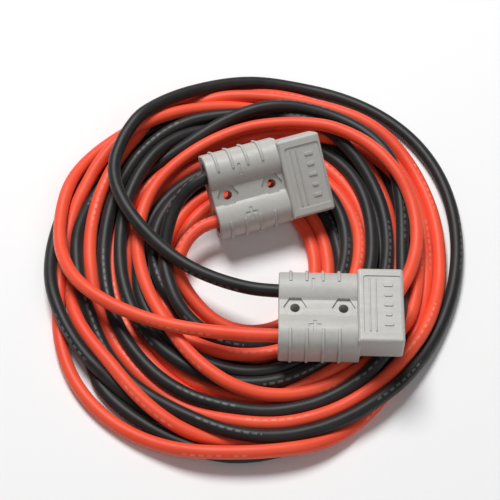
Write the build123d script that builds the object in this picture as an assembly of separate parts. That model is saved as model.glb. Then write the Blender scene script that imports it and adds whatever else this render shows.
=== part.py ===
from build123d import *
import math
import os

# A low-voltage extension lead: one red and one black cable, each with a contact at both ends, held
# in two identical two-pole connector housings. Millimetres, +Z up, lying coiled on the plane z = 0,
# with the origin at the centre of the coil's footprint.

# ---- cable and coil ----
CABLE_D = 5.2
COIL_HALF_X = 83.3
COIL_HALF_Y = 89.2
COIL_H = 13.2
COIL_TOP_ROUND = 5.0
COIL_BASE_ROUND = 2.0
HOLE_HALF_X = 25.5
HOLE_HALF_Y = 26.0
HOLE_CENTRE = (-2.5, -8.5)
ARC_SHARE = 0.45

# ---- connector: x from the cable end to the nose, y across (+y is the black pole), z up ----
LENGTH = 46.8
BODY_L = 30.5
HALF_H = 7.3
LOBE_Y = 9.7
HALF_W = LOBE_Y + HALF_H
LOBE_INNER = (4.4, 5.9)
FOOT_R = 1.5
POLE_Y = 9.6
WEB_HALF_W = 3.2
WEB_TOP = 5.1
WEB_BOTTOM = -6.4
BODY_EDGE_R = 0.6

HOOD_HALF_W = 15.8
HOOD_TOP = 8.4
HOOD_BOTTOM = -3.2
HOOD_EDGE_R = 1.2
WALL = 1.5
PLATFORM_EDGE_R = 0.6
CAVITY_REAR = BODY_L + 1.5
FLOOR_Z = -3.6
PLATFORM_BOTTOM = -6.4
PLATFORM_HALF_W = 12.8
PLATFORM_NOSE = 45.6
DIVIDER_T = 2.2
DIVIDER_TOP = -0.4
DIVIDER_NOSE = 40.0

PANEL_X = (31.8, 45.7)
PANEL_HALF_W = 12.4
PANEL_DEPTH = 0.35
RIDGE_X = (34.0, 36.3)
RIDGE_W = 0.5
DASH_X = 41.0
DASH_PITCH = 4.2
DASH_SIZES = ((3.4, 1.2), (2.4, 1.2), (3.4, 1.2), (2.9, 1.2), (3.4, 1.2))
DASH_H = 0.3
ROOT = 0.3

PORT_D = 9.4
BORE_END = 21.0
SLOT_HALF_W = 4.6
SLOT_TOP = 3.2

SCREW_X = (6.2, 24.4)
SCREW_D = 3.6
POCKET_FLOOR = 4.4
NUT_FLATS = 7.6
HEAD_D = 7.2

RIB_X = 4.5
RIB_PITCH = 6.1
RIB_COUNT = 4
RIB_T = 1.2
RIB_PROUD = 0.75
RIB_RISE = 0.3
RIB_INNER_Y = 10.2
RIB_EDGE_R = 0.5

MINUS_AT = (13.0, 9.2)
PLUS_AT = (13.6, -8.7)
MARK_LONG = 4.6
MARK_WIDE = 1.1
MARK_DEPTH = 0.25

# ---- contact, leaf spring and stripped wire ----
LEAD_END_X = 5.2
WIRE_END_X = 5.6
WIRE_D = 4.4
BARREL_X = (6.0, 19.0)
BARREL_OD = 7.2
BARREL_ID = 4.6
WIRE_TIP_X = 17.4
BARREL_BOTTOM_X = 17.6
TONGUE_X = (22.0, 43.5)
TONGUE_HALF_W = 4.0
TONGUE_Z = (-0.2, 1.4)
TONGUE_CORNER_R = 1.0
HOOK_L = 1.9
HOOK_BOTTOM = -1.7
SPRING_PATH = ((23.0, -3.15), (26.0, -3.15), (38.0, -0.80), (40.4, -1.70))
SPRING_T = 0.45
SPRING_W = 6.0

# ---- where the two connectors lie: B flat on the coil, A leaning into the middle ----
PLACE_B = (8.9, -36.0, 21.0)
YAW_B = -1.2
LEAN_B = 0.0
PLACE_A = (-17.4, 17.5, 19.2)
YAW_A = 17.9
LEAN_A = 40.0
CLEAR = 0.5

# ---- routes of the free stretches, from just behind each connector into the coil ----
ROUTE_B_BLACK = [
    (2.8, -25.6, 20.5), (-5.6, -23.0, 19.2), (-14.2, -19.2, 17.8), (-23.4, -14.2, 16.7),
    (-32.9, -7.0, 16.2), (-42.2, 2.6, 16.1), (-50.4, 13.8, 16.3), (-55.9, 25.8, 16.1),
    (-57.4, 36.8, 15.5), (-55.2, 47.2, 14.4),
]
ROUTE_B_RED = [
    (2.6, -45.1, 20.5), (-6.6, -43.9, 19.3), (-17.6, -41.9, 17.8), (-29.0, -39.3, 16.6),
    (-40.6, -35.8, 16.1), (-52.0, -31.0, 16.3), (-62.4, -24.4, 15.8), (-71.2, -15.0, 13.8),
    (-77.6, -4.3, 10.8),
]
ROUTE_A_BLACK = [
    (-21.8, 23.0, 24.4), (-27.2, 19.6, 21.6), (-31.8, 15.0, 17.6), (-35.2, 9.2, 13.2),
]
ROUTE_A_RED = [
    (-19.0, 9.7, 13.1), (-25.2, 4.9, 12.3), (-29.0, -1.3, 11.1), (-30.8, -8.7, 9.6),
    (-30.2, -16.4, 8.2),
]


def along_x(section, start, stop):
    """A prism of a YZ section between two x stations."""
    return Pos(start, 0, 0) * extrude(Plane.YZ * section, amount=stop - start)


def block(x, y, z):
    """A box given as its low and high x, y and z."""
    size = [high - low for low, high in (x, y, z)]
    centre = [(low + high) / 2 for low, high in (x, y, z)]
    return Pos(*centre) * Box(*size)


def body_section():
    """The body across: two lobes, round above and square below, with the sunken web between them."""
    inner_y = LOBE_INNER[0]
    crest = (LOBE_Y, HALF_H)
    outline = [
        Line((0, WEB_TOP), (WEB_HALF_W, WEB_TOP)),
        Line((WEB_HALF_W, WEB_TOP), LOBE_INNER),
        TangentArc(crest, LOBE_INNER, tangent=(-1, 0)),
        TangentArc(crest, (HALF_W, 0), tangent=(1, 0)),
        Polyline((HALF_W, 0), (HALF_W, -HALF_H), (inner_y, -HALF_H), (WEB_HALF_W, WEB_BOTTOM),
                 (0, WEB_BOTTOM), (0, WEB_TOP)),
    ]
    half = make_face(outline)
    section = half + mirror(half, Plane.YZ)
    feet = [v for v in section.vertices() if abs(v.X) > LOBE_Y and v.Y < -HALF_H / 2]
    return fillet(feet, FOOT_R)


def rib(section, side, x):
    """A grip rib: a slice of the body moved outward, so that it is lowest at the lobe's crest."""
    moved = Pos(side * RIB_PROUD, RIB_RISE) * section
    slab = along_x(moved, x - RIB_T / 2, x + RIB_T / 2)
    slab = fillet(slab.edges().filter_by(Plane.YZ), RIB_EDGE_R)
    outer = sorted((side * RIB_INNER_Y, side * (HALF_W + 2)))
    return slab & block((x - RIB_T, x + RIB_T), outer, (-HALF_H - 1, HALF_H + 1))


def housing_body(section):
    """The two barrels and the screw web, with rounded ends and grip ribs."""
    body = along_x(section, 0, BODY_L)
    body = fillet(body.edges().filter_by(Plane.YZ), BODY_EDGE_R)
    for side in (1, -1):
        for index in range(RIB_COUNT):
            body += rib(section, side, RIB_X + index * RIB_PITCH)
    return body


def housing_nose():
    """The mating end: a roofed shroud over a narrower contact platform."""
    wide = (-HOOD_HALF_W, HOOD_HALF_W)
    shell = block((BODY_L - 1.0, LENGTH), wide, (HOOD_BOTTOM, HOOD_TOP))
    top_and_nose = shell.edges().filter_by(lambda e: e.center().Z > 0)
    rear = top_and_nose.sort_by(Axis.X)[0]
    shell = fillet([e for e in top_and_nose if e is not rear], HOOD_EDGE_R)
    inside = HOOD_HALF_W - WALL
    shell -= block((CAVITY_REAR, LENGTH + 1), (-inside, inside), (HOOD_BOTTOM - 1, HOOD_TOP - WALL))
    platform = block((BODY_L - 1.0, PLATFORM_NOSE), (-PLATFORM_HALF_W, PLATFORM_HALF_W),
                     (PLATFORM_BOTTOM, FLOOR_Z))
    platform = fillet(platform.edges().filter_by(Axis.X), PLATFORM_EDGE_R)
    divider = block((BODY_L, DIVIDER_NOSE), (-DIVIDER_T / 2, DIVIDER_T / 2),
                    (FLOOR_Z - 0.5, DIVIDER_TOP))
    return shell + platform + divider


def roof_relief(housing):
    """The framed panel on the roof, with two ridges and a row of plain raised dashes."""
    panel_z = HOOD_TOP - PANEL_DEPTH
    panel = RectangleRounded(PANEL_X[1] - PANEL_X[0], 2 * PANEL_HALF_W, 1.0)
    middle = sum(PANEL_X) / 2
    housing -= Pos(middle, 0, panel_z) * extrude(panel, amount=1)
    for x in RIDGE_X:
        ridge = RectangleRounded(RIDGE_W, 2 * PANEL_HALF_W - 2, 0.2)
        housing += Pos(x, 0, panel_z - ROOT) * extrude(ridge, amount=ROOT + PANEL_DEPTH - 0.05)
    first = -(len(DASH_SIZES) - 1) / 2
    for index, (dash_l, dash_w) in enumerate(DASH_SIZES):
        dash = RectangleRounded(dash_l, dash_w, 0.4)
        place = Pos(DASH_X, (first + index) * DASH_PITCH, panel_z - ROOT)
        housing += place * extrude(dash, amount=ROOT + DASH_H)
    return housing


def housing_cuts(housing):
    """Cable ports, contact slots, and screw holes with nut and head pockets."""
    for side in (1, -1):
        pole = side * POLE_Y
        housing -= along_x(Pos(pole, 0) * Circle(PORT_D / 2), -1, BORE_END)
        housing -= block((BORE_END - 1, CAVITY_REAR + 0.5), (pole - SLOT_HALF_W, pole + SLOT_HALF_W),
                         (FLOOR_Z, SLOT_TOP))
    for x in SCREW_X:
        nut = RegularPolygon(NUT_FLATS / math.sqrt(3), 6)
        housing -= Pos(x, 0, POCKET_FLOOR) * extrude(nut, amount=HALF_H)
        housing -= Pos(x, 0, -POCKET_FLOOR - HALF_H) * Cylinder(HEAD_D / 2, 2 * HALF_H)
        housing -= Pos(x, 0, 0) * Cylinder(SCREW_D / 2, 6 * HALF_H)
    return housing


def polarity_marks(section):
    """The minus and plus signs, sunk to an even depth in the lobes' crowns."""
    bar = (MARK_WIDE, MARK_LONG, HALF_H)
    minus = Pos(*MINUS_AT, HALF_H) * Box(*bar)
    plus = Pos(*PLUS_AT, HALF_H) * (Box(*bar) + Rot(0, 0, 90) * Box(*bar))
    return minus + plus - along_x(Pos(0, -MARK_DEPTH) * section, 0, BODY_L)


def make_housing():
    section = body_section()
    housing = roof_relief(housing_body(section) + housing_nose())
    return housing_cuts(housing) - polarity_marks(section)


def make_contact():
    """Crimp barrel, neck and flat tongue with a latch lip, for a pole at y = 0."""
    barrel = along_x(Circle(BARREL_OD / 2), *BARREL_X)
    low, high = TONGUE_Z
    neck_x = BARREL_X[1] - 1.0
    neck = make_face(Polyline((neck_x, -2.4), (neck_x, 2.9), (TONGUE_X[0] + 1, high),
                              (TONGUE_X[0] + 1, low), close=True))
    neck = extrude(Plane.XZ * neck, amount=2.9, both=True)
    tongue = block(TONGUE_X, (-TONGUE_HALF_W, TONGUE_HALF_W), (low, high))
    hook = block((TONGUE_X[1] - HOOK_L, TONGUE_X[1]), (-TONGUE_HALF_W, TONGUE_HALF_W), (HOOK_BOTTOM, high))
    flat = tongue + hook
    tip = flat.edges().filter_by(Axis.Z).sort_by(Axis.X)[-2:]
    flat = fillet(tip, TONGUE_CORNER_R)
    bore = along_x(Circle(BARREL_ID / 2), BARREL_X[0] - 1, BARREL_BOTTOM_X)
    return barrel + neck + flat - bore


def make_spring():
    """Leaf spring under the tongue, for a pole at y = 0."""
    strip = trace(Polyline(*SPRING_PATH), line_width=SPRING_T)
    return extrude(Plane.XZ * strip, amount=SPRING_W / 2, both=True)


def make_wire_end():
    return along_x(Circle(WIRE_D / 2), WIRE_END_X, WIRE_TIP_X)


def connector_frame(place, yaw, lean):
    return Pos(*place) * Rot(0, 0, yaw) * Rot(lean, 0, 0)


def cord_tube(name, points):
    """A cable stretch: straight runs joined by tangent arcs as large as the runs allow."""
    corners = [Vector(*p) for p in points]
    radii = []
    for before, at, after in zip(corners, corners[1:], corners[2:]):
        into = at - before
        out = after - at
        half_turn = math.radians(into.get_angle(out)) / 2
        radii.append(ARC_SHARE * min(into.length, out.length) / math.tan(half_turn))
    path = FilletPolyline(*corners, radius=radii)
    section = Plane(path @ 0, z_dir=path % 0) * Circle(CABLE_D / 2)
    tube = sweep(section, path)
    ideal = path.length * math.pi * CABLE_D ** 2 / 4
    print(f"{name}: length {path.length:.1f}, volume / ideal {tube.volume / ideal:.4f}, "
          f"radii {[round(r, 1) for r in radii]}")
    return tube


def cable_route(frame, side, outside):
    """A route's first point lies inside the housing, where the insulation stops."""
    inside = (frame * Pos(LEAD_END_X, side * POLE_Y, 0)).position
    return [tuple(inside)] + outside


def make_coil(frame_a):
    """The loosely wound turns as one ring, hollowed where connector A leans into the middle."""
    ring = extrude(Ellipse(COIL_HALF_X, COIL_HALF_Y), amount=COIL_H)
    ring = fillet(ring.edges().sort_by(Axis.Z)[-1], COIL_TOP_ROUND)
    ring = fillet(ring.edges().sort_by(Axis.Z)[0], COIL_BASE_ROUND)
    ring -= Pos(*HOLE_CENTRE, -1) * extrude(Ellipse(HOLE_HALF_X, HOLE_HALF_Y), amount=COIL_H + 2)
    room = block((-CLEAR, LENGTH + CLEAR), (-HALF_W - RIB_PROUD - CLEAR, HALF_W + RIB_PROUD + CLEAR),
                 (-HALF_H - CLEAR, HOOD_TOP + CLEAR))
    return ring - frame_a * room


frame_a = connector_frame(PLACE_A, YAW_A, LEAN_A)
frame_b = connector_frame(PLACE_B, YAW_B, LEAN_B)
routes = {
    ("a", "pos"): ROUTE_A_RED,
    ("a", "neg"): ROUTE_A_BLACK,
    ("b", "pos"): ROUTE_B_RED,
    ("b", "neg"): ROUTE_B_BLACK,
}
sides = {"pos": -1, "neg": 1}
shared = {"contact": make_contact(), "spring": make_spring(), "wire_end": make_wire_end()}
housing = make_housing()

parts = {"cable_coil": make_coil(frame_a)}
for end, frame in (("a", frame_a), ("b", frame_b)):
    parts[f"housing_{end}"] = frame * housing
    for pole, side in sides.items():
        for kind, shape in shared.items():
            parts[f"{kind}_{end}_{pole}"] = frame * Pos(0, side * POLE_Y, 0) * shape
        lead = f"lead_{end}_{pole}"
        parts[lead] = cord_tube(lead, cable_route(frame, side, routes[end, pole]))

os.makedirs("parts", exist_ok=True)
for name, shape in parts.items():
    shape.label = name
    export_step(shape, f"parts/{name}.step")
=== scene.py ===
import math

import bmesh
import bpy
import numpy as np
from mathutils import Matrix, Vector


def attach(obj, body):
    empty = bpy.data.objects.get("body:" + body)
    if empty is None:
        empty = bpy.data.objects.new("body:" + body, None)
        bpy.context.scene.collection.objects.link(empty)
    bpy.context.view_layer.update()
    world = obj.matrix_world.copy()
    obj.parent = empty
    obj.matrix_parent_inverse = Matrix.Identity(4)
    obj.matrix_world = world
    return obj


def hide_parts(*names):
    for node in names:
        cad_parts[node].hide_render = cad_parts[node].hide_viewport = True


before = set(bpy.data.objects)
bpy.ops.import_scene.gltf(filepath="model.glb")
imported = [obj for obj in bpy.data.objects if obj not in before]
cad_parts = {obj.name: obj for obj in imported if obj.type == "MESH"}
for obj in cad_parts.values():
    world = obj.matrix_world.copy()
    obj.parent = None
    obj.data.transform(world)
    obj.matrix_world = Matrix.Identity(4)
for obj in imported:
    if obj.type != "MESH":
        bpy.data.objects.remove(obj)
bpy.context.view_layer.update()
scene = bpy.context.scene
MM = 0.001

# ---------------------------------------------------------------- camera

AIM = Vector((-1.8, 5.35, 0.0)) * MM
ELEVATION = math.radians(58)
DISTANCE = 606 * MM
LENS = 108


def make_camera():
    data = bpy.data.cameras.new("view")
    data.lens = LENS
    data.sensor_width = 36
    data.clip_start = 0.01
    camera = bpy.data.objects.new("view", data)
    scene.collection.objects.link(camera)
    away = Vector((0, -math.cos(ELEVATION), math.sin(ELEVATION)))
    camera.location = AIM + DISTANCE * away
    camera.rotation_euler = (math.pi / 2 - ELEVATION, 0, 0)
    scene.camera = camera


make_camera()

# ---------------------------------------------------------------- cords

# In millimetres, as in part.py. A cord is a chain of beads STEP apart, and the last LOOSE_END of
# each lead is free to move with the coil.
CORD_D = 5.2
STEP = 2.6
LOOSE_END = 12.0
POLE_Y = 9.6
LEAD_END_X = 5.2
PLACE_A = ((-17.4, 17.5, 19.2), 17.9, 40.0)
PLACE_B = ((8.9, -36.0, 21.0), -1.2, 0.0)

# A housing's body and hood as rounded boxes: centre, half size and corner radius.
HOUSING_BOXES = (
    ((23.4, 0, 0), (23.4, 17.5, 7.4), 5.0),
    ((38.4, 0, 2.6), (8.4, 15.8, 5.8), 1.0),
)

# The free stretches, as in part.py, from just behind each connector into the coil.
ROUTE_B_BLACK = [
    (2.8, -25.6, 20.5), (-5.6, -23.0, 19.2), (-14.2, -19.2, 17.8), (-23.4, -14.2, 16.7),
    (-32.9, -7.0, 16.2), (-42.2, 2.6, 16.1), (-50.4, 13.8, 16.3), (-55.9, 25.8, 16.1),
    (-57.4, 36.8, 15.5), (-55.2, 47.2, 14.4),
]
ROUTE_B_RED = [
    (2.6, -45.1, 20.5), (-6.6, -43.9, 19.3), (-17.6, -41.9, 17.8), (-29.0, -39.3, 16.6),
    (-40.6, -35.8, 16.1), (-52.0, -31.0, 16.3), (-62.4, -24.4, 15.8), (-71.2, -15.0, 13.8),
    (-77.6, -4.3, 10.8),
]
ROUTE_A_BLACK = [
    (-21.8, 23.0, 24.4), (-27.2, 19.6, 21.6), (-31.8, 15.0, 17.6), (-35.2, 9.2, 13.2),
]
ROUTE_A_RED = [
    (-19.0, 9.7, 13.1), (-25.2, 4.9, 12.3), (-29.0, -1.3, 11.1), (-30.8, -8.7, 9.6),
    (-30.2, -16.4, 8.2),
]

# The loose turns, wound counter-clockwise from connector A outward. Each row is one turn: the
# radius at eight equal steps from the left side of the coil, then how many half diameters the
# cord lies above the lowest layer there.
RED_TURNS = [
    ((31, 35, 36, 31, 24, 27, 34, 35), "22210000"),
    ((31, 38, 48, 39, 32, 37, 36, 40), "00002200"),
    ((36, 45, 47, 43, 41, 47, 50, 50), "00222200"),
    ((50, 57, 65, 61, 65, 67, 58, 53), "00023443"),
    ((47, 49, 64, 65, 65, 68, 58, 56), "33330221"),
    ((58, 59, 69, 56, 45, 54, 58, 65), "03200000"),
    ((71, 77, 81, 66, 55, 67, 73, 77), "03100002"),
    ((76, 90, 85, 76, 69, 76, 83, 74), "00200002"),
    ((66, 68, 77, 74, 72, 79, 76, 81), "23333320"),
    ((82,), "3"),
]
BLACK_TURNS = [
    ((37, 42, 43, 39, 37, 41, 42, 41), "32222222"),
    ((42, 42, 54, 42, 30, 35, 42, 46), "20000022"),
    ((41, 50, 60, 50, 39, 43, 44, 45), "00000000"),
    ((45, 51, 54, 49, 45, 54, 65, 61), "01223223"),
    ((53, 54, 60, 55, 52, 61, 70, 66), "33332233"),
    ((60, 64, 72, 69, 58, 73, 68, 60), "33331232"),
    ((65, 79, 86, 71, 60, 72, 77, 79), "00000000"),
    ((80, 79, 76, 61, 50, 62, 68, 73), "01000000"),
    ((71, 73, 80, 78, 81, 89, 85, 76), "23330025"),
    ((62,), "5"),
]

# Where each cord joins and leaves the turns, in eighths of a turn.
RED_SPAN = (1.0, 71.5)
BLACK_SPAN = (0.3, 70.8)
POINTS_PER_EIGHTH = 30
# Which loose beads are control points: every third, clear of the leads' own control points.
CONTROLS = slice(4, -3, 3)


def between_keys(keys, at):
    """A smooth curve through keys, one unit apart, read at the given stations."""
    keys = np.array(keys, float)
    last = len(keys) - 1
    base = np.clip(np.floor(at).astype(int), 0, last - 1)
    t = at - base
    a, b, c, d = (keys[np.clip(base + shift, 0, last)] for shift in (-1, 0, 1, 2))
    return 0.5 * (2 * b + (c - a) * t + (2 * a - 5 * b + 4 * c - d) * t ** 2
                  + (3 * b - a - 3 * c + d) * t ** 3)


def wind(turns, start, stop):
    """Points of the loose turns between two stations, counted in eighths of a turn."""
    at = np.linspace(start, stop, int((stop - start) * POINTS_PER_EIGHTH))
    radius = between_keys([r for radii, _ in turns for r in radii], at)
    level = between_keys([int(digit) for _, digits in turns for digit in digits], at)
    angle = math.pi * (1 + at / 4)
    height = CORD_D / 2 * (1 + np.maximum(level, 0))
    return np.stack([radius * np.cos(angle), radius * np.sin(angle), height], axis=1)


def placed(place):
    """The matrix that puts a connector's own frame where the connector lies."""
    origin, yaw, lean = place
    turn = Matrix.Rotation(math.radians(yaw), 4, "Z") @ Matrix.Rotation(math.radians(lean), 4, "X")
    return Matrix.Translation(origin) @ turn


def lead(place, side, outside):
    """A lead's whole route, from where its insulation stops inside the housing."""
    inside = placed(place) @ Vector((LEAD_END_X, side * POLE_Y, 0))
    return np.array([tuple(inside)] + outside)


def smooth_line(points, rounds=3):
    """The same smooth line that the lead's spline takes."""
    for _ in range(rounds):
        cut = np.empty((2 * len(points) - 2, 3))
        cut[0::2] = 0.75 * points[:-1] + 0.25 * points[1:]
        cut[1::2] = 0.25 * points[:-1] + 0.75 * points[1:]
        points = np.vstack([points[:1], cut, points[-1:]])
    return points


def evenly(points, step):
    gaps = np.linalg.norm(np.diff(points, axis=0), axis=1)
    along = np.concatenate([[0], np.cumsum(gaps)])
    at = np.linspace(0, along[-1], int(round(along[-1] / step)) + 1)
    return np.stack([np.interp(at, along, points[:, axis]) for axis in range(3)], axis=1)


def held_beads(line):
    """How many beads of a lead stay put: all but those of its last stretch, by the coil."""
    return len(evenly(line, STEP)) - int(LOOSE_END / STEP)


class Pile:
    """Both cords as chains of beads that push apart, sag, and rest on the floor and each other."""

    BEND = ((1, 0.5), (3, 0.4), (6, 0.3))

    def __init__(self, cords):
        chains = []
        held = []
        for start, turns, stop in cords:
            whole = np.vstack([start, turns, stop])
            chain = evenly(whole, STEP)
            ends = (held_beads(start), len(chain) - held_beads(stop))
            index = np.arange(len(chain))
            chains.append(chain)
            held.append((index < ends[0]) | (index >= ends[1]))
        self.sizes = [len(chain) for chain in chains]
        self.at = np.vstack(chains)
        self.aim = self.at.copy()
        self.cord = np.repeat(np.arange(len(chains)), self.sizes)
        self.held = np.concatenate(held)
        self.free = np.where(self.held, 0.0, 1.0)[:, None]
        self.obstacles = []
        index = np.arange(len(self.at))
        self.links = index[:-1][self.cord[:-1] == self.cord[1:]]
        self.bends = [(index[gap:-gap][self.cord[2 * gap:] == self.cord[:-2 * gap]], gap, share)
                      for gap, share in self.BEND]

    def find_pairs(self, reach=9.0, block=400):
        """Beads near enough to meet soon, leaving out near neighbours on one chain."""
        at = self.at.astype(np.float32)
        square = (at * at).sum(axis=1)
        found = []
        for low in range(0, len(at), block):
            rows = slice(low, low + block)
            gap = square[rows, None] + square[None, :] - 2 * at[rows] @ at.T
            i, j = np.nonzero(gap < reach * reach)
            i += low
            keep = (i < j) & ~((self.cord[i] == self.cord[j]) & (j - i < 6))
            found.append(np.stack([i[keep], j[keep]]))
        self.i, self.j = np.concatenate(found, axis=1)

    def bend(self):
        for middle, gap, share in self.bends:
            kink = 0.5 * (self.at[middle - gap] + self.at[middle + gap]) - self.at[middle]
            move = np.zeros_like(self.at)
            move[middle] += 0.5 * kink
            move[middle - gap] -= 0.25 * kink
            move[middle + gap] -= 0.25 * kink
            self.at += share * move * self.free

    def even_out(self):
        a = self.links
        span = self.at[a + 1] - self.at[a]
        length = np.linalg.norm(span, axis=1)
        mean = np.bincount(self.cord[a], length) / np.bincount(self.cord[a])
        pull = span * (0.5 * (length - mean[self.cord[a]]) / length)[:, None]
        move = np.zeros_like(self.at)
        move[a] += pull
        move[a + 1] -= pull
        self.at += 0.5 * move * self.free

    def push_apart(self):
        span = self.at[self.j] - self.at[self.i]
        length = np.linalg.norm(span, axis=1)
        weight = self.free[self.i, 0] + self.free[self.j, 0]
        hit = (length < CORD_D) & (weight > 0)
        i = self.i[hit]
        j = self.j[hit]
        push = span[hit] * ((CORD_D / length[hit] - 1) / weight[hit])[:, None]
        size = len(self.at)
        for axis in range(3):
            move = np.bincount(j, push[:, axis], size) - np.bincount(i, push[:, axis], size)
            count = np.bincount(i, minlength=size) + np.bincount(j, minlength=size)
            self.at[:, axis] += move / np.maximum(1, 0.5 * count) * self.free[:, 0]

    def clear_obstacles(self):
        """Moves beads out of the rounded boxes that stand for the housings."""
        for to_box, from_box, half, radius in self.obstacles:
            local = self.at @ to_box[:3, :3].T + to_box[:3, 3]
            out = np.abs(local) - (half - radius)
            depth = np.linalg.norm(np.maximum(out, 0), axis=1) + np.minimum(out.max(axis=1), 0) - radius
            hit = (depth < CORD_D / 2) & ~self.held
            if not hit.any():
                continue
            out = out[hit]
            nearest = out == out.max(axis=1, keepdims=True)
            away = np.where((out > 0) | nearest, np.maximum(out, 1e-6), 0) * np.sign(local[hit])
            away /= np.linalg.norm(away, axis=1, keepdims=True)
            moved = local[hit] + away * (CORD_D / 2 - depth[hit])[:, None]
            self.at[hit] = moved @ from_box[:3, :3].T + from_box[:3, 3]

    def lift_to_floor(self):
        low = (self.at[:, 2] < CORD_D / 2) & ~self.held
        self.at[low, 2] = CORD_D / 2

    def settle(self, steps, sink, hold):
        for step in range(steps):
            if step % 12 == 0:
                self.find_pairs()
            self.at[:, 2] -= sink * self.free[:, 0]
            self.at[:, :2] += hold * (self.aim - self.at)[:, :2] * self.free
            self.bend()
            for _ in range(2):
                self.even_out()
            self.clear_obstacles()
            for _ in range(3):
                self.push_apart()
                self.lift_to_floor()

    def chains(self):
        return np.split(self.at, np.cumsum(self.sizes)[:-1])


def housing_obstacles():
    """The rounded boxes of both housings where they lie, with the matrices into and out of each."""
    found = []
    for place in (PLACE_A, PLACE_B):
        for centre, half, radius in HOUSING_BOXES:
            from_box = placed(place) @ Matrix.Translation(centre)
            found.append((np.array(from_box.inverted()), np.array(from_box), np.array(half), radius))
    return found


def coil_cords():
    """Control points of the red and the black cord, in metres."""
    ends = {
        "red": (lead(PLACE_A, -1, ROUTE_A_RED), lead(PLACE_B, -1, ROUTE_B_RED)),
        "black": (lead(PLACE_A, 1, ROUTE_A_BLACK), lead(PLACE_B, 1, ROUTE_B_BLACK)),
    }
    turns = {"red": wind(RED_TURNS, *RED_SPAN), "black": wind(BLACK_TURNS, *BLACK_SPAN)}
    pile = Pile([(smooth_line(ends[name][0]), turns[name], smooth_line(ends[name][1])[::-1])
                 for name in ends])
    pile.settle(250, sink=0.12, hold=0.05)
    pile.obstacles = housing_obstacles()
    pile.settle(350, sink=0.10, hold=0.05)
    found = {}
    for (name, (start, stop)), chain, held in zip(
            ends.items(), pile.chains(), np.split(pile.held, np.cumsum(pile.sizes)[:-1])):
        loose = chain[~held][CONTROLS]
        found[name] = np.vstack([start[:-1], loose, stop[-2::-1]]) * MM
    return found


def spline_line(name, points):
    """Points along the smooth NURBS line that has the given control points."""
    data = bpy.data.curves.new(name + "_line", "CURVE")
    data.dimensions = "3D"
    data.resolution_u = 5
    spline = data.splines.new("NURBS")
    spline.points.add(len(points) - 1)
    for slot, point in zip(spline.points, points):
        slot.co = (*point, 1)
    spline.order_u = 3
    spline.use_endpoint_u = True
    holder = bpy.data.objects.new(name + "_line", data)
    mesh = bpy.data.meshes.new_from_object(holder)
    line = [vertex.co.copy() for vertex in mesh.vertices]
    bpy.data.meshes.remove(mesh)
    bpy.data.objects.remove(holder)
    bpy.data.curves.remove(data)
    return line


def tube(name, line, diameter, sides=20):
    """A round tube along a line, with u running along it in metres and v round it."""
    bm = bmesh.new()
    uv = bm.loops.layers.uv.new("UVMap")
    rings = []
    along = [0.0]
    side = Vector((0, 0, 1))
    for index, point in enumerate(line):
        ahead = line[min(index + 1, len(line) - 1)] - line[max(index - 1, 0)]
        ahead.normalize()
        side = (side - side.dot(ahead) * ahead).normalized()
        up = ahead.cross(side)
        ring = []
        for k in range(sides):
            angle = 2 * math.pi * k / sides
            outward = math.cos(angle) * side + math.sin(angle) * up
            ring.append(bm.verts.new(point + diameter / 2 * outward))
        rings.append(ring)
        if index:
            along.append(along[-1] + (point - line[index - 1]).length)
    for index, (near, far) in enumerate(zip(rings, rings[1:])):
        for k in range(sides):
            after = (k + 1) % sides
            face = bm.faces.new((near[k], near[after], far[after], far[k]))
            face.smooth = True
            spots = ((index, k), (index, k + 1), (index + 1, k + 1), (index + 1, k))
            for loop, (ring, turn) in zip(face.loops, spots):
                loop[uv].uv = (along[ring], turn / sides)
    bm.faces.new(list(reversed(rings[0])))
    bm.faces.new(rings[-1])
    mesh = bpy.data.meshes.new(name)
    bm.to_mesh(mesh)
    bm.free()
    piece = bpy.data.objects.new(name, mesh)
    scene.collection.objects.link(piece)
    return piece, along[-1]


# ---------------------------------------------------------------- materials

class Material:
    """A Principled material being built, with short calls for the nodes that feed it."""

    def __init__(self, name, **sockets):
        self.made = bpy.data.materials.new(name)
        self.made.use_nodes = True
        self.tree = self.made.node_tree
        self.shader = self.tree.nodes["Principled BSDF"]
        for socket, value in sockets.items():
            self.shader.inputs[socket.replace("_", " ")].default_value = value

    def node(self, kind, inputs=(), **settings):
        """A node with its settings, and its inputs as values or as other nodes' outputs."""
        made = self.tree.nodes.new("ShaderNode" + kind)
        for key, value in settings.items():
            setattr(made, key, value)
        for key, value in dict(inputs).items():
            if isinstance(value, bpy.types.NodeSocket):
                self.tree.links.new(value, made.inputs[key])
            else:
                made.inputs[key].default_value = value
        return made

    def math(self, operation, a, b=0.0):
        return self.node("Math", {0: a, 1: b}, operation=operation).outputs[0]

    def noise(self, vector, scale, detail=2.0, roughness=0.5):
        inputs = {"Vector": vector, "Scale": scale, "Detail": detail, "Roughness": roughness}
        return self.node("TexNoise", inputs).outputs["Fac"]

    def blend(self, share, low, high):
        """One colour passing into another as share goes from 0 to 1."""
        made = self.node("Mix", data_type="RGBA")
        self.tree.links.new(share, made.inputs[0])
        for socket, colour in ((made.inputs[6], low), (made.inputs[7], high)):
            if isinstance(colour, bpy.types.NodeSocket):
                self.tree.links.new(colour, socket)
            else:
                socket.default_value = (*colour, 1)
        return made.outputs[2]

    def spread(self, share, low, high):
        """A value passing from low to high as share goes from 0.3 to 0.7."""
        inputs = {"Value": share, "From Min": 0.3, "From Max": 0.7, "To Min": low, "To Max": high}
        return self.node("MapRange", inputs).outputs["Result"]

    def bump(self, height, distance, strength=1.0, under=None):
        inputs = {"Height": height, "Distance": distance, "Strength": strength}
        if under:
            inputs["Normal"] = under
        return self.node("Bump", inputs).outputs["Normal"]

    def feed(self, **sockets):
        for socket, output in sockets.items():
            self.tree.links.new(output, self.shader.inputs[socket.replace("_", " ")])


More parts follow.
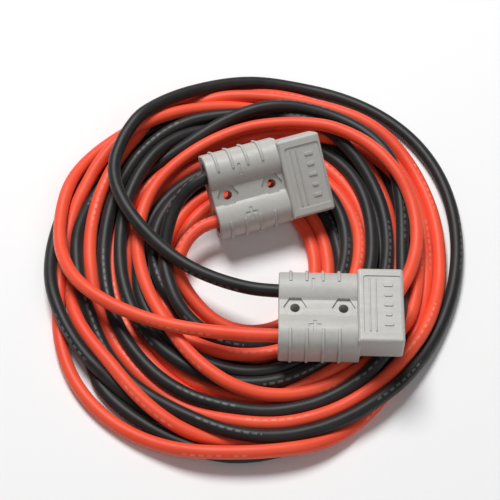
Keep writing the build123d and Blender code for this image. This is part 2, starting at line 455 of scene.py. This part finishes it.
# The printed dashes: pitches in metres with the share of each that is inked, and the row's place,
# half width and slow sway as shares of the way round the cable.
GROUP_PITCH = 0.071
GROUP_SHARE = 0.36
DASH_PITCH = 0.0031
DASH_SHARE = 0.6
PRINT_AT = 0.42
PRINT_HALF_W = 0.028
PRINT_SWAY = 0.13
PRINT_SWAY_RATE = 5.0


def silicone(name, dark, light, ink):
    """Soft matte silicone: mottled colour, dusty bloom, fine grain and rows of printed dashes."""
    m = Material(name, Specular_IOR_Level=0.33, Sheen_Weight=0.1, Sheen_Roughness=0.45)
    spot = m.node("TexCoord")
    along, around, _ = m.node("SeparateXYZ", {0: spot.outputs["UV"]}).outputs
    mottle = m.spread(m.noise(spot.outputs["Object"], 45, 4), 0, 1)
    bloom = m.spread(m.noise(spot.outputs["Object"], 210, 3, 0.7), 0, 0.35)
    colour = m.blend(mottle, dark, light)
    colour = m.blend(bloom, colour, tuple(0.9 * c + 0.02 for c in light))
    sway = m.math("MULTIPLY", m.math("SINE", m.math("MULTIPLY", along, PRINT_SWAY_RATE)), PRINT_SWAY)
    turn = m.math("FRACT", m.math("ADD", m.math("ADD", around, sway), PRINT_AT))
    row = m.math("LESS_THAN", m.math("ABSOLUTE", m.math("SUBTRACT", turn, 0.5)), PRINT_HALF_W)
    group = m.math("LESS_THAN", m.math("FRACT", m.math("DIVIDE", along, GROUP_PITCH)), GROUP_SHARE)
    dash = m.math("LESS_THAN", m.math("FRACT", m.math("DIVIDE", along, DASH_PITCH)), DASH_SHARE)
    worn = m.spread(m.noise(spot.outputs["Object"], 330, 2), 0.15, 0.8)
    printed = m.math("MULTIPLY", m.math("MULTIPLY", row, group), m.math("MULTIPLY", dash, worn))
    colour = m.blend(printed, colour, ink)
    grain = m.noise(spot.outputs["Object"], 1400, 3, 0.6)
    swell = m.noise(spot.outputs["Object"], 120, 2)
    normal = m.bump(grain, 0.00004, 0.5, m.bump(swell, 0.0002, 0.5))
    m.feed(Base_Color=colour, Roughness=m.spread(bloom, 0.48, 0.66), Normal=normal)
    return m.made


def moulded(name, dark, light):
    """Satin moulded plastic: faint flow marks, scuffs, grain and softened edges."""
    m = Material(name, Specular_IOR_Level=0.45)
    spot = m.node("TexCoord").outputs["Object"]
    flow = m.spread(m.noise(spot, 38, 5, 0.6), 0, 1)
    speck = m.spread(m.noise(spot, 700, 2), 0, 0.25)
    stretched = m.node("Mapping", {0: spot, "Scale": (1, 9, 4)}).outputs[0]
    scuff = m.spread(m.noise(stretched, 60, 6, 0.7), 0, 1)
    colour = m.blend(speck, m.blend(flow, dark, light), tuple(0.8 * c for c in dark))
    soft = m.node("Bevel", {"Radius": 0.0003}, samples=4).outputs["Normal"]
    normal = m.bump(m.noise(spot, 2200, 2), 0.00003, 0.35, m.bump(flow, 0.00015, 0.3, soft))
    m.feed(Base_Color=colour, Roughness=m.spread(scuff, 0.38, 0.52), Normal=normal)
    return m.made


def metal(name, dark, light, rough, grain):
    """Worked metal: uneven tarnish, and fine marks stretched along one way."""
    m = Material(name, Metallic=1.0)
    spot = m.node("TexCoord").outputs["Object"]
    tarnish = m.spread(m.noise(spot, 260, 4, 0.65), 0, 1)
    marks = m.noise(m.node("Mapping", {0: spot, "Scale": grain}).outputs[0], 500, 3)
    m.feed(Base_Color=m.blend(tarnish, light, dark), Roughness=m.spread(tarnish, *rough),
           Normal=m.bump(marks, 0.00005, 0.5))
    return m.made


def strands(name, dark, light):
    """Bare stranded copper: fine wires laid side by side with a slow twist."""
    m = Material(name, Metallic=1.0)
    spot = m.node("TexCoord").outputs["Object"]
    turned = m.node("Mapping", {0: spot, "Rotation": (0, 0, math.radians(12))}).outputs[0]
    wires = m.node("TexWave", {"Vector": turned, "Scale": 420, "Distortion": 1.5},
                   wave_type="BANDS", bands_direction="Y").outputs["Fac"]
    m.feed(Base_Color=m.blend(wires, dark, light), Roughness=m.spread(wires, 0.5, 0.28),
           Normal=m.bump(wires, 0.0001, 0.8))
    return m.made


SILICONE = {
    "red": silicone("silicone_red", (0.86, 0.066, 0.026), (0.94, 0.098, 0.038), (0.90, 0.30, 0.21)),
    "black": silicone("silicone_black", (0.007, 0.0065, 0.0065), (0.016, 0.015, 0.015), (0.17, 0.17, 0.17)),
}
PLASTIC = moulded("moulded_grey", (0.47, 0.46, 0.43), (0.53, 0.52, 0.49))
SILVER = metal("silver_plate", (0.62, 0.60, 0.54), (0.88, 0.87, 0.83), (0.22, 0.40), (1, 6, 6))
STEEL = metal("spring_steel", (0.42, 0.42, 0.44), (0.66, 0.66, 0.67), (0.25, 0.42), (1, 10, 10))
COPPER = strands("bare_copper", (0.38, 0.14, 0.07), (0.86, 0.46, 0.28))


def dress_cad():
    kinds = {"housing": PLASTIC, "contact": SILVER, "spring": STEEL, "wire": COPPER}
    for name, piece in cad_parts.items():
        material = kinds.get(name.split("_")[0])
        if material:
            piece.data.materials.clear()
            piece.data.materials.append(material)


def lay_cords():
    poles = {"red": ("pos", -1), "black": ("neg", 1)}
    for name, points in coil_cords().items():
        pole, side = poles[name]
        line = spline_line(name, points)
        cord, length = tube(f"cord_{name}", line, CORD_D * MM)
        cord.data.materials.append(SILICONE[name])
        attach(cord, "root")
        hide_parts("cable_coil", f"lead_a_{pole}", f"lead_b_{pole}")


lay_cords()
dress_cad()

# ---------------------------------------------------------------- floor and light


def make_floor():
    bm = bmesh.new()
    bmesh.ops.create_grid(bm, x_segments=2, y_segments=2, size=3)
    mesh = bpy.data.meshes.new("floor")
    bm.to_mesh(mesh)
    bm.free()
    floor = bpy.data.objects.new("floor", mesh)
    scene.collection.objects.link(floor)
    m = Material("floor_paper", Roughness=0.9, Specular_IOR_Level=0.1)
    tone = m.noise(m.node("TexCoord").outputs["Object"], 3, 3)
    m.feed(Base_Color=m.blend(tone, (0.90, 0.90, 0.90), (0.93, 0.93, 0.93)))
    mesh.materials.append(m.made)


def area_light(name, place, size, power):
    data = bpy.data.lights.new(name, "AREA")
    data.shape = "DISK"
    data.size = size
    data.energy = power
    lamp = bpy.data.objects.new(name, data)
    scene.collection.objects.link(lamp)
    lamp.location = place
    lamp.rotation_euler = (AIM - Vector(place)).to_track_quat("-Z", "Y").to_euler()


def light_room(strength):
    """Even white light from all round."""
    world = bpy.data.worlds.new("studio")
    world.use_nodes = True
    background = world.node_tree.nodes["Background"]
    background.inputs["Color"].default_value = (1, 1, 1, 1)
    background.inputs["Strength"].default_value = strength
    scene.world = world


make_floor()
area_light("key", place=(-0.2, 0.55, 1.1), size=0.55, power=15.2)
area_light("fill", place=(0.5, -0.8, 0.9), size=1.0, power=2.4)
light_room(0.13)
scene.view_settings.view_transform = "Standard"
